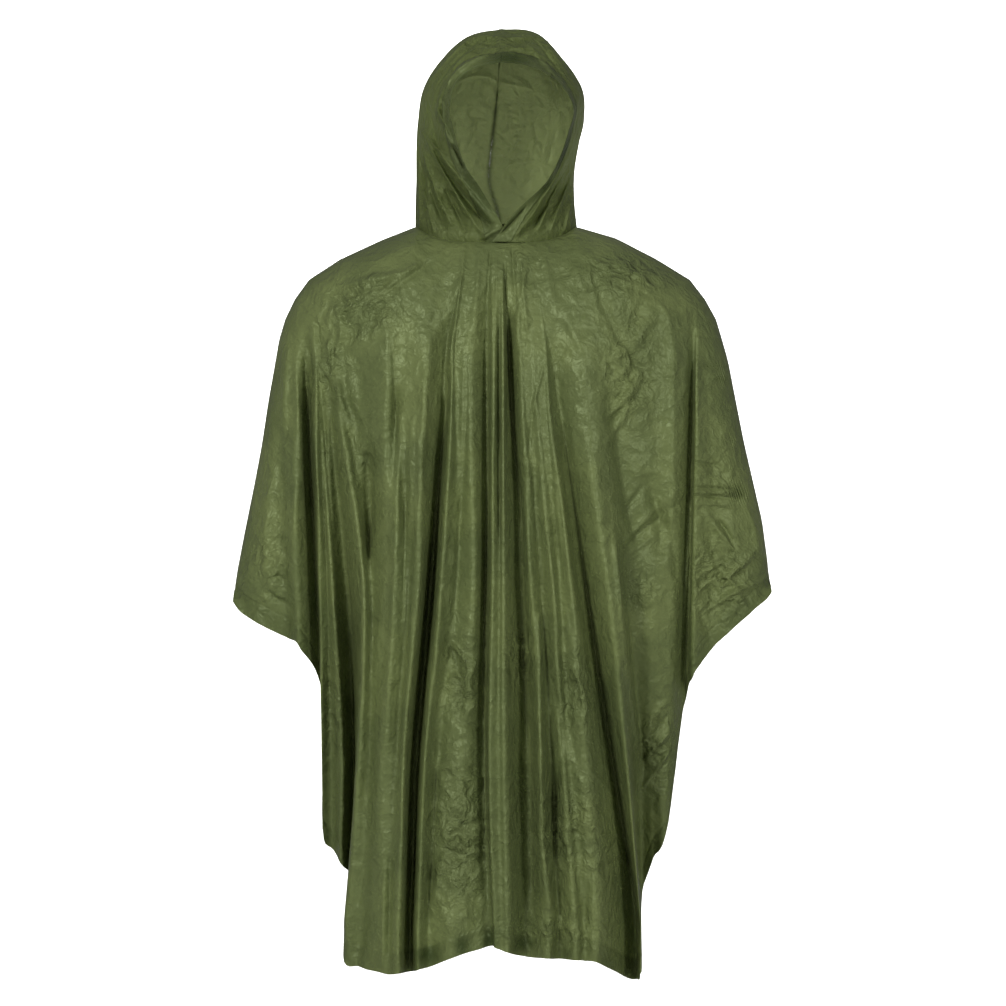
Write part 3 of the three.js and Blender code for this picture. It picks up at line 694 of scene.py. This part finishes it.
def hood_points(left, arch, share):
    """A half of the hood. Its lowest rows settle onto the neck edge."""
    arch, share = np.broadcast_arrays(arch, share)
    rows = arch if left else LAST_ARCH - arch
    lowest = arch_points(np.full(arch.shape, 0.0 if left else float(LAST_ARCH)), share)
    hold = (1.0 - smooth(rows / NECK_ROWS))[..., None]
    points = arch_points(arch, share) + (neck_points(left, share) - lowest) * hold
    points[..., 2] += NECK_LIFT
    return points


# Creases on the outside of the hood, and on its back where it shows through the face opening.
HOOD_CREASES = table(CREASE_COLUMNS, [
    # left cheek, down to the throat
    [434, 150, 493, 228, -4, 3.4, -8],
    [423, 129, 494, 222, -2, 2.4, 4],
    [418, 126, 469, 217, 0, 2.2, 4.5],
    [419, 142, 452, 226, -2, 2.4, 3.6],
    [444, 186, 467, 233, 0, 3, -4],
    [426, 170, 447, 232, -1, 2.6, -4],
    [418, 136, 428, 202, -1, 2, -3],
    [416, 150, 420, 228, 0, 2.2, 2.4],
    [424, 190, 434, 234, 0, 2, 2.2],
    [452, 186, 482, 234, -1, 2.4, 2.6],
    [437, 108, 454, 148, -1, 2.4, 4.5],
    [429, 104, 440, 150, -1, 2.4, -3],
    [452, 144, 464, 170, 1, 1.8, -5],
    # round the top left of the face
    [437, 126, 449, 80, 4, 2.6, 4],
    [445, 86, 488, 54, 4, 2.6, 4],
    [434, 112, 452, 70, 4, 2.6, -3],
    [474, 35, 426, 88, -3, 1.8, 3.4],
    [481, 38, 434, 90, -3, 1.8, -3],
    [486, 42, 442, 80, -3, 2, 2.4],
    # crown
    [474, 33, 532, 33, 0, 1.6, -2.4],
    [468, 37, 536, 38, 0, 1.6, 2.4],
    [464, 44, 522, 43, 0, 4, -3.4],
    [478, 50, 546, 50, 2, 2.4, 2.4],
    [540, 35, 570, 76, 0, 1.8, 3.6],
    [534, 38, 562, 74, 0, 1.8, -3],
    [528, 44, 556, 76, 0, 2, 2],
    # right cheek
    [571, 78, 587, 120, 1.5, 2.4, 4.5],
    [574, 116, 572, 138, 0, 3, -2],
    [584, 122, 514, 239, 5, 2.4, 4.5],
    [579, 148, 538, 232, -3, 2.2, 4],
    [577, 158, 550, 232, 0, 2, 3.4],
    [578, 150, 530, 233, -1, 2.2, -5],
    [576, 162, 550, 222, 0, 2, -4],
    [566, 184, 520, 238, 0, 2, -3.6],
    [576, 186, 564, 234, 0, 2, 2.4],
    [526, 206, 500, 234, 0, 1.8, -4],
    [478, 241, 500, 228, 0, 2, 2.4],
])
HOOD_INSIDE_CREASES = table(CREASE_COLUMNS, [
    [455, 83, 497, 80, 6, 2, 3.6],
    [490, 78, 531, 88, -1, 2, 3.6],
    [534, 138, 532, 156, 0, 1.4, 3],
    [538, 142, 541, 158, 0, 1.4, 3],
    [550, 130, 541, 160, 0, 1.6, 3],
    [557, 130, 547, 164, 0, 1.6, -3],
    [452, 112, 462, 150, 0, 1.8, 2.4],
    [466, 106, 520, 116, 2, 2, 2.2],
    [470, 150, 490, 190, 3, 2.4, 2],
    [500, 170, 540, 160, 3, 2, 1.8],
    [520, 120, 506, 170, 2, 2, 1.8],
    [530, 110, 520, 190, 3, 2.4, 2],
    [476, 120, 466, 150, 2, 2.6, 2.2],
    [500, 96, 512, 140, 2, 1.8, 1.6],
    [450, 100, 476, 128, 3, 2.4, 1.8],
    [540, 66, 552, 112, -3, 5, 1.2],
])
HOOD_PATCHES = table(PATCH_COLUMNS, [
    [500, 130, 60, 80, 0.7],
    [556, 90, 22, 40, 0.9],
    [450, 110, 20, 40, 0.7],
    [500, 44, 60, 18, 0.8],
    [440, 200, 30, 40, 0.6],
    [560, 200, 30, 40, 0.6],
])
# Painted shade on the face hem: patches where it is darkened as if in shadow, and how dark the rest of its
# double film is.
HOOD_PAINTED_SHADE = table(PATCH_COLUMNS, [
    [510, 59, 24, 9, 1],
    [562, 150, 12, 30, 1],
    [546, 186, 14, 16, 0.8],
    [478, 192, 26, 36, 0.5],
])
HOOD_BASE_TONE = 0.15
HOOD_FIELD_CRUMPLE = 0.3
HOOD_RISE = 2.6
HOOD_INSIDE_RISE = 1.5
FACING_FOR_CREASES = 0.45
ROUND_THE_HEAD = 330.0
ROLL_HEIGHT, ROLL_PLACE, ROLL_WIDTH = 1.8, 7.0, 5.0

# Shares of the way from the face to the seam where outer creases end and inner ones begin, with their fades.
OUTSIDE_UNTIL, OUTSIDE_FADE = 0.40, 0.10
INSIDE_FROM, INSIDE_FADE = 0.50, 0.12


def hood_detail(points, share, facing):
    """How far the hood's creases move each place back, how far crumple and the weld move it along its normal,
    and how crumpled it is. Creases seen on the outside sit before the widest arch, the others behind it. The
    weld is a narrow trough beside the face hem, with a soft roll of film next to it."""
    across, down = seen_from_front(points)
    outside = 1.0 - smooth((share - OUTSIDE_UNTIL) / OUTSIDE_FADE)
    inside = smooth((share - INSIDE_FROM) / INSIDE_FADE)
    amount = np.maximum(patches(across, down, HOOD_PATCHES), HOOD_FIELD_CRUMPLE)
    crumple = crumple_layers(across, down, HOOD_CRUMPLE, HOOD_SEED)
    back = crease_height(across, down, HOOD_INSIDE_CREASES) * inside * HOOD_INSIDE_RISE
    back -= crease_height(across, down, HOOD_CREASES) * outside * HOOD_RISE
    back *= smooth(facing / FACING_FOR_CREASES)
    from_face = share * ROUND_THE_HEAD
    weld = WELD_DEPTH * np.exp(-(((from_face - FACE_HEM_WIDTH) / WELD_WIDTH) ** 2))
    roll = ROLL_HEIGHT * np.exp(-(((from_face - FACE_HEM_WIDTH - ROLL_PLACE) / ROLL_WIDTH) ** 2))
    return back, crumple * amount * facing - weld + roll, amount


# Mesh building


def grid_normals(points, outward):
    """Unit normals of a grid of points."""
    across = np.gradient(points, axis=1)
    down = np.gradient(points, axis=0)
    normals = np.cross(across, down) * outward
    return normals / np.maximum(np.linalg.norm(normals, axis=-1, keepdims=True), 1e-9)


def grid_faces(rows, columns, flip):
    """Quads of a grid of rows by columns vertices."""
    first = (np.arange(rows - 1)[:, None] * columns + np.arange(columns - 1)[None, :]).ravel()
    quads = np.stack([first, first + 1, first + columns + 1, first + columns], axis=1)
    return quads[:, ::-1] if flip else quads


def make_mesh(name, points, faces, material, attributes):
    """A mesh from points in millimetres, with smooth shading and one number per vertex and attribute."""
    mesh = bpy.data.meshes.new(name)
    coordinates = np.ascontiguousarray(points.reshape(-1, 3) * METRES, dtype=np.float32)
    mesh.vertices.add(len(coordinates))
    mesh.vertices.foreach_set("co", coordinates.ravel())
    mesh.loops.add(faces.size)
    mesh.loops.foreach_set("vertex_index", faces.astype(np.int32).ravel())
    mesh.polygons.add(len(faces))
    mesh.polygons.foreach_set("loop_start", np.arange(0, faces.size, 4, dtype=np.int32))
    mesh.update(calc_edges=True)
    mesh.shade_smooth()
    for label, values in attributes.items():
        layer = mesh.attributes.new(label, "FLOAT", "POINT")
        layer.data.foreach_set("value", np.ascontiguousarray(values, dtype=np.float32).ravel())
    mesh.materials.append(material)
    piece = bpy.data.objects.new(name, mesh)
    bpy.context.scene.collection.objects.link(piece)
    return piece


def framed(node, points, faces, material, attributes):
    """A mesh on the only body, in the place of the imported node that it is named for."""
    piece = make_mesh(node, points, faces, material, attributes)
    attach(piece, "root")
    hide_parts(node)
    return piece


def strip(points, normals, low, high):
    """Closed band over a grid, between two distances along its normals: top, bottom and four rims."""
    rows, columns = points.shape[:2]
    layer = rows * columns
    both = np.concatenate([(points + normals * high).reshape(-1, 3), (points + normals * low).reshape(-1, 3)])
    top = grid_faces(rows, columns, False)
    rim = np.concatenate([
        np.arange(columns - 1),
        (np.arange(rows - 1) + 1) * columns - 1,
        rows * columns - 1 - np.arange(columns - 1),
        (rows - 1 - np.arange(rows - 1)) * columns,
    ])
    after = np.roll(rim, -1)
    sides = np.stack([rim, rim + layer, after + layer, after], axis=1)
    return both, np.concatenate([top, top[:, ::-1] + layer, sides])


# Materials


def linear(hex_colour):
    """sRGB hex to linear RGBA."""
    parts = [int(hex_colour[i : i + 2], 16) / 255 for i in (1, 3, 5)]
    return tuple(c / 12.92 if c <= 0.04045 else ((c + 0.055) / 1.055) ** 2.4 for c in parts) + (1.0,)


def add(tree, kind, settings=None, **sockets):
    """A node with its properties and inputs. An input is named with _ for each space, or i and its number,
    and takes a value or another node's output."""
    node = tree.nodes.new("ShaderNode" + kind)
    for key, value in (settings or {}).items():
        setattr(node, key, value)
    for key, value in sockets.items():
        numbered = key[0] == "i" and key[1:].isdigit()
        socket = node.inputs[int(key[1:]) if numbered else key.replace("_", " ")]
        if isinstance(value, bpy.types.NodeSocket):
            tree.links.new(value, socket)
        else:
            socket.default_value = value
    return node


# Scales are in cells to a metre: facets of 16 mm, crests 22 mm apart, bent every 33 mm by up to 11 mm, a fine
# grain of 4 mm, coarser than the real one so that it shows, and tones that change every 110 mm.
FACET_SCALE, CREST_SCALE, WANDER_SCALE, GRAIN_SCALE, TONE_SCALE = 62.0, 46.0, 30.0, 230.0, 9.0
FACET_LEAN = 0.45
FACET_BUMP = 0.004
WANDER = (0.022, 0.022, 0.022)
MULTIPLY = {"operation": "MULTIPLY"}
MULTIPLY_ADD = {"operation": "MULTIPLY_ADD"}
# colour of the double film, also used for the shade painted onto the hems
DOUBLE_AND_SHADE_TONE = "#374222"
SEAM_TONE = "#17190d"


def leaning_facets(tree, place):
    """Height of flat facets, each with a lean of its own, in bump distances. It is the way from a facet's
    middle times a random lean: the facet's colour less a middle grey."""
    subtract = {"operation": "SUBTRACT"}
    cell = add(tree, "TexVoronoi", Vector=place, Scale=FACET_SCALE)
    middle, tint = cell.outputs["Position"], cell.outputs["Color"]
    off = add(tree, "VectorMath", subtract, i0=place, i1=middle).outputs[0]
    tilt = add(tree, "VectorMath", subtract, i0=tint, i1=(0.5, 0.5, 0.5)).outputs[0]
    rise = add(tree, "VectorMath", {"operation": "DOT_PRODUCT"}, i0=off, i1=tilt).outputs["Value"]
    return add(tree, "Math", MULTIPLY, i0=rise, i1=FACET_LEAN / FACET_BUMP).outputs[0]


def film_material(name, light, dark, glow, glow_share, roughness, bump):
    """Thin PVC film: a satin skin over a coloured body, and light that comes through from behind. The
    attributes say how crumpled a place is, where film lies double, with shade painted onto the hems in
    places, and where the seam runs."""
    material = bpy.data.materials.new(name)
    material.use_nodes = True
    tree = material.node_tree
    tree.nodes.clear()
    place = add(tree, "TexCoord").outputs["Object"]
    labels = ("crumple", "double_and_shade", "seam")
    crumpled, double_and_shade, seam = (
        add(tree, "Attribute", {"attribute_name": label}).outputs["Fac"] for label in labels
    )
    # fine crumple: flat facets that lean at random, crests between them, and a fine grain
    wander = add(tree, "TexNoise", Vector=place, Scale=WANDER_SCALE, Detail=2.0).outputs["Color"]
    bent = add(tree, "VectorMath", MULTIPLY_ADD, i0=wander, i1=WANDER, i2=place).outputs[0]
    ridged = add(
        tree, "TexNoise", {"noise_type": "RIDGED_MULTIFRACTAL"},
        Vector=bent, Scale=CREST_SCALE, Detail=3.0, Offset=1.0, Gain=2.0,
    ).outputs["Fac"]
    facets = leaning_facets(tree, bent)
    crests = add(tree, "Math", MULTIPLY_ADD, i0=ridged, i1=0.85, i2=facets).outputs[0]
    grain = add(tree, "TexNoise", Vector=place, Scale=GRAIN_SCALE, Detail=2.0, Roughness=0.6).outputs["Fac"]
    strength = add(tree, "Math", MULTIPLY_ADD, i0=crumpled, i1=0.85, i2=0.1).outputs[0]
    raised = add(tree, "Math", MULTIPLY, i0=crests, i1=strength).outputs[0]
    height = add(tree, "Math", MULTIPLY_ADD, i0=grain, i1=0.1, i2=raised).outputs[0]
    bumped = add(tree, "Bump", Strength=bump, Distance=FACET_BUMP, Height=height).outputs[0]
    # tone: a little uneven, darker where the film lies double and where shade is painted onto the hems, and a
    # dark broken line along the hood's seam
    tone = add(tree, "TexNoise", Vector=place, Scale=TONE_SCALE, Detail=3.0).outputs["Fac"]
    uneven = add(
        tree, "MapRange", {"interpolation_type": "SMOOTHSTEP"},
        Value=tone, From_Min=0.42, From_Max=0.58,
    ).outputs[0]
    blend = {"data_type": "RGBA"}
    colour = add(tree, "Mix", blend, i0=uneven, i6=linear(dark), i7=linear(light)).outputs[2]
    colour = add(tree, "Mix", blend, i0=double_and_shade, i6=colour, i7=linear(DOUBLE_AND_SHADE_TONE)).outputs[2]
    gaps = add(tree, "Math", MULTIPLY_ADD, i0=uneven, i1=-0.5, i2=1.0).outputs[0]
    broken = add(tree, "Math", MULTIPLY, i0=gaps, i1=seam).outputs[0]
    colour = add(tree, "Mix", blend, i0=broken, i6=colour, i7=linear(SEAM_TONE)).outputs[2]
    skin = add(
        tree, "BsdfPrincipled", Base_Color=colour, Roughness=roughness, IOR=1.5, Normal=bumped,
        Specular_IOR_Level=0.45, Specular_Tint=linear("#c9d8a8"),
    ).outputs[0]
    # light comes through the single film, and five times less of it where film lies double, where shade is
    # painted on the hems, or where it is welded
    through = add(tree, "BsdfTranslucent", Color=linear(glow), Normal=bumped).outputs[0]
    thick = add(tree, "Math", {"operation": "MAXIMUM"}, i0=double_and_shade, i1=seam).outputs[0]
    loss = -0.8 * glow_share
    share = add(tree, "Math", MULTIPLY_ADD, i0=thick, i1=loss, i2=glow_share).outputs[0]
    both = add(tree, "MixShader", i0=share, i1=skin, i2=through).outputs[0]
    add(tree, "OutputMaterial", Surface=both)
    return material


def plain_material(name, hex_colour, roughness):
    """One colour and roughness all over."""
    material = bpy.data.materials.new(name)
    material.use_nodes = True
    skin = material.node_tree.nodes["Principled BSDF"]
    skin.inputs["Base Color"].default_value = linear(hex_colour)
    skin.inputs["Roughness"].default_value = roughness
    return material


# Calendered PVC film about 0.15 mm thick: satin, with broad soft highlights on each crumple, and a little
# light through it. The hood shows its inner side too and lets more light through, and its colours are painted
# paler than the body's, as if lit.
BODY_FILM = film_material(
    "pvc film, satin olive", light="#6b7548", dark="#616b42", glow="#7d9440", glow_share=0.03, roughness=0.37,
    bump=1.0,
)
# painted light: the same film as the body, given paler colours as if lit
HOOD_FILM_PAINTED_LIGHTER = film_material(
    "pvc film, satin olive, hood, painted lighter", light="#727d4d", dark="#687246", glow="#95a16c", glow_share=0.4,
    roughness=0.37, bump=1.0,
)
HEM_FILM = film_material(
    "pvc film, two layers welded", light="#616b42", dark="#565f3b", glow="#6c8038", glow_share=0.02,
    roughness=0.4, bump=0.9,
)

# Body sheets

BODY_COLUMNS = 316
BODY_ROWS = 298
HEM_ROWS = 14
TOP_FADE = 14.0
COLUMN_CROWDING = 0.6
ROW_CROWDING = 0.3

# The hem's band lies under the sheet, between these two distances below it.
BAND_LOW, BAND_HIGH = -0.9, -0.35

# The hem puckers in short waves, whose length drifts; they start a few rows above it.
PUCKER_HEIGHT, PUCKER_WAVE, PUCKER_DRIFT, PUCKER_ROWS = 1.2, 7.0, 29.0, 6


def body_grid(folds, front):
    """A grid of points over a half of the body sheet, with its normals and its attributes. The columns follow
    the fold lines and lie closer where the folds do; the last rows are the hem. Each point is moved along
    its normal by crumple, pucker and weld, and to the front or back by the creases."""
    spacing = np.abs(np.diff(folds["x460"])) ** COLUMN_CROWDING
    along = np.concatenate([[0.0], np.cumsum(spacing)])
    line = np.interp(np.linspace(0, along[-1], BODY_COLUMNS), along, np.arange(len(along)))
    ends = body_points(folds, line, np.array([[0.0], [1.0]]), front)
    hem_share = 1.0 - np.minimum(HEM_WIDTH / (ends[0, :, 2] - ends[1, :, 2]), 0.8)
    down = np.linspace(0, 1, BODY_ROWS)[:, None]
    panel = hem_share * mix(down, down**2, ROW_CROWDING)
    hem = mix(hem_share, 1.0, np.linspace(0, 1, HEM_ROWS)[1:, None])
    points = body_points(folds, line, np.concatenate([panel, hem]), front)
    outward = -1.0 if front else 1.0
    plain = grid_normals(points, outward)
    folded, crumple, amount = surface_detail(points, np.abs(plain[..., 1]), front)
    fade = smooth(np.linalg.norm(points - points[:1], axis=-1) / TOP_FADE)
    row, x = np.arange(len(points)), points[..., 0]
    from_hem = np.clip((row - (BODY_ROWS - PUCKER_ROWS)) / (HEM_ROWS + PUCKER_ROWS - 1.0), 0, 1)[:, None]
    pucker = np.sin(x / PUCKER_WAVE + 2.0 * np.sin(x / PUCKER_DRIFT)) * from_hem**1.5 * PUCKER_HEIGHT
    to_weld = (row - (BODY_ROWS - 1))[:, None] * HEM_WIDTH / (HEM_ROWS - 1.0)
    height = crumple * fade + pucker - WELD_DEPTH * np.exp(-((to_weld / WELD_WIDTH) ** 2))
    points = points + plain * height[..., None]
    points[..., 1] += outward * folded * fade
    # painted shade: the front hem's double film is darkened in patches as if in shadow; the back hem keeps
    # only its own tone
    shade_and_tone = patches(*seen_from_front(points), HEM_PAINTED_SHADE) if front else 0.0 * amount
    double_and_shade = smooth(to_weld / 2.0 + 0.5) * np.maximum(shade_and_tone, HEM_BASE_TONE)
    return points, grid_normals(points, outward), {"crumple": amount, "double_and_shade": double_and_shade}


def body_half(side, folds):
    """A half of the body sheet and the second layer of its hem, which is the hem's rows as a closed band."""
    front = side == "front"
    points, normals, marks = body_grid(folds, front)
    faces = grid_faces(*points.shape[:2], flip=not front)
    sheet = framed("body_" + side, points, faces, BODY_FILM, marks)
    band_points, band_faces = strip(points[-HEM_ROWS:], normals[-HEM_ROWS:], BAND_LOW, BAND_HIGH)
    if not front:
        band_faces = band_faces[:, ::-1]
    band_marks = {label: np.tile(values[-HEM_ROWS:].ravel(), 2) for label, values in marks.items()}
    return sheet, framed("hem_" + side, band_points, band_faces, HEM_FILM, band_marks)


body_front, hem_front = body_half("front", FRONT_FOLDS)
body_back, hem_back = body_half("back", BACK_FOLDS)

# Hood sheets

HOOD_ALONG = 190
HOOD_AROUND = 180
FACE_ROWS = 16

# Distances in millimetres: from one arch to the next at the crown and at the neck, and from face to seam.
CROWN_STEP, NECK_STEP, FACE_TO_SEAM = 26.0, 33.0, 170.0
EDGE_FADE = 9.0
FLANGE_DEPTH, FLANGE_WIDTH = 1.0, 2.2
SEAM_LINE = 1.6


def hood_half(side):
    """A half of the hood and the second layer of its face hem. Creases and crumple fade towards the seam and
    the neck, and the seam is a narrow trough."""
    left = side == "left"
    face_share = FACE_HEM_WIDTH / ROUND_THE_HEAD
    arch = np.linspace(0, MIDDLE_ARCH, HOOD_ALONG)[:, None] + (0 if left else MIDDLE_ARCH)
    face_hem = np.linspace(0, face_share, FACE_ROWS)[:-1]
    share = np.concatenate([face_hem, np.linspace(face_share, 1, HOOD_AROUND)])[None, :]
    points = hood_points(left, arch, share)
    plain = grid_normals(points, 1.0)
    back, height, amount = hood_detail(points, share, np.abs(plain[..., 1]))
    to_middle = np.minimum(np.abs(MIDDLE_ARCH - arch) * CROWN_STEP, (1.0 - share) * FACE_TO_SEAM)
    to_neck = (arch if left else LAST_ARCH - arch) * NECK_STEP
    fade = smooth(to_middle / EDGE_FADE) * smooth(to_neck / EDGE_FADE)
    height *= fade
    height -= FLANGE_DEPTH * np.exp(-((to_middle / FLANGE_WIDTH) ** 2))
    points = points + plain * height[..., None]
    points[..., 1] += back * fade
    normals = grid_normals(points, 1.0)
    # painted shade: the face hem's double film is darkened in patches as if in shadow, over its own tone
    shade_and_tone = np.maximum(patches(*seen_from_front(points), HOOD_PAINTED_SHADE), HOOD_BASE_TONE)
    marks = {
        "crumple": amount,
        "double_and_shade": shade_and_tone * smooth((face_share - share) * ROUND_THE_HEAD / 2.0 + 0.5),
        "seam": np.exp(-((to_middle / SEAM_LINE) ** 2)) * smooth((share - 0.5) / 0.1),
    }
    faces = grid_faces(*points.shape[:2], flip=False)
    sheet = framed("hood_" + side, points, faces, HOOD_FILM_PAINTED_LIGHTER, marks)
    band_points, band_faces = strip(points[:, :FACE_ROWS], normals[:, :FACE_ROWS], BAND_LOW, BAND_HIGH)
    band_marks = {label: np.tile(values[:, :FACE_ROWS].ravel(), 2) for label, values in marks.items()}
    return sheet, framed("face_hem_" + side, band_points, band_faces, HEM_FILM, band_marks)


hood_left, face_hem_left = hood_half("left")
hood_right, face_hem_right = hood_half("right")

# Studio, light and camera. Lengths are in metres here.

FLOOR_Z = -1.45
WALL_Y = 4.6
WALL_TOP = 2.8
CURVE = 1.2
FLOOR_FRONT = -3.4
FLOOR_HALF_WIDTH = 6.0
SENSOR = 36.0

# The backdrop runs level to the back, turns up in a quarter circle and ends as a wall.
floor_profile = [(FLOOR_FRONT, 0.0), (WALL_Y - CURVE, 0.0)]
for turn in np.linspace(0.1, math.pi / 2, 14):
    floor_profile.append((WALL_Y - CURVE + CURVE * math.sin(turn), CURVE - CURVE * math.cos(turn)))
floor_profile.append((WALL_Y, WALL_TOP))
profile = np.array(floor_profile)
floor_points = np.stack([
    np.repeat(np.array([[-FLOOR_HALF_WIDTH, FLOOR_HALF_WIDTH]]), len(profile), axis=0),
    np.repeat(profile[:, :1], 2, axis=1),
    np.repeat(profile[:, 1:] + FLOOR_Z, 2, axis=1),
], axis=-1) / METRES
backdrop_material = plain_material("white backdrop", "#f6f6f4", 0.9)
backdrop = make_mesh("backdrop", floor_points, grid_faces(len(profile), 2, False), backdrop_material, {})
backdrop.visible_glossy = False

scene = bpy.context.scene
world = bpy.data.worlds.new("studio")
scene.world = world
world.use_nodes = True
world.node_tree.nodes["Background"].inputs["Color"].default_value = (1.0, 1.0, 1.0, 1.0)
world.node_tree.nodes["Background"].inputs["Strength"].default_value = 0.14


def softbox(name, place, target, width, height, power):
    """A rectangular area light turned to a target: sizes in metres, power in watts."""
    lamp = bpy.data.lights.new(name, "AREA")
    lamp.shape = "RECTANGLE"
    lamp.size = width
    lamp.size_y = height
    lamp.energy = power
    light = bpy.data.objects.new(name, lamp)
    scene.collection.objects.link(light)
    light.location = place
    aim = np.array(target) - np.array(place)
    flat = math.hypot(aim[0], aim[1])
    light.rotation_euler = (math.atan2(flat, -aim[2]), 0.0, math.atan2(aim[1], aim[0]) - math.pi / 2)


softbox("key", (-1.5, -3.0, 0.95), (0.0, 0.0, -0.4), 0.5, 1.4, 70.0)
softbox("fill", (1.8, -2.9, 0.6), (0.0, 0.0, -0.4), 0.5, 1.4, 38.0)
softbox("background", (0.0, WALL_Y - 2.2, 1.6), (0.0, WALL_Y, 0.7), 4.6, 0.8, 260.0)

camera_data = bpy.data.cameras.new("camera")
camera_data.sensor_width = SENSOR
camera_data.lens = SENSOR * VIEW_DISTANCE / (PIXELS * MM_PER_PIXEL)
camera_data.clip_end = 50.0
camera = bpy.data.objects.new("camera", camera_data)
scene.collection.objects.link(camera)
camera.location = (VIEW_X * METRES, -VIEW_DISTANCE * METRES, VIEW_Z * METRES)
camera.rotation_euler = (math.pi / 2, 0.0, 0.0)
scene.camera = camera
scene.view_settings.view_transform = "Standard"
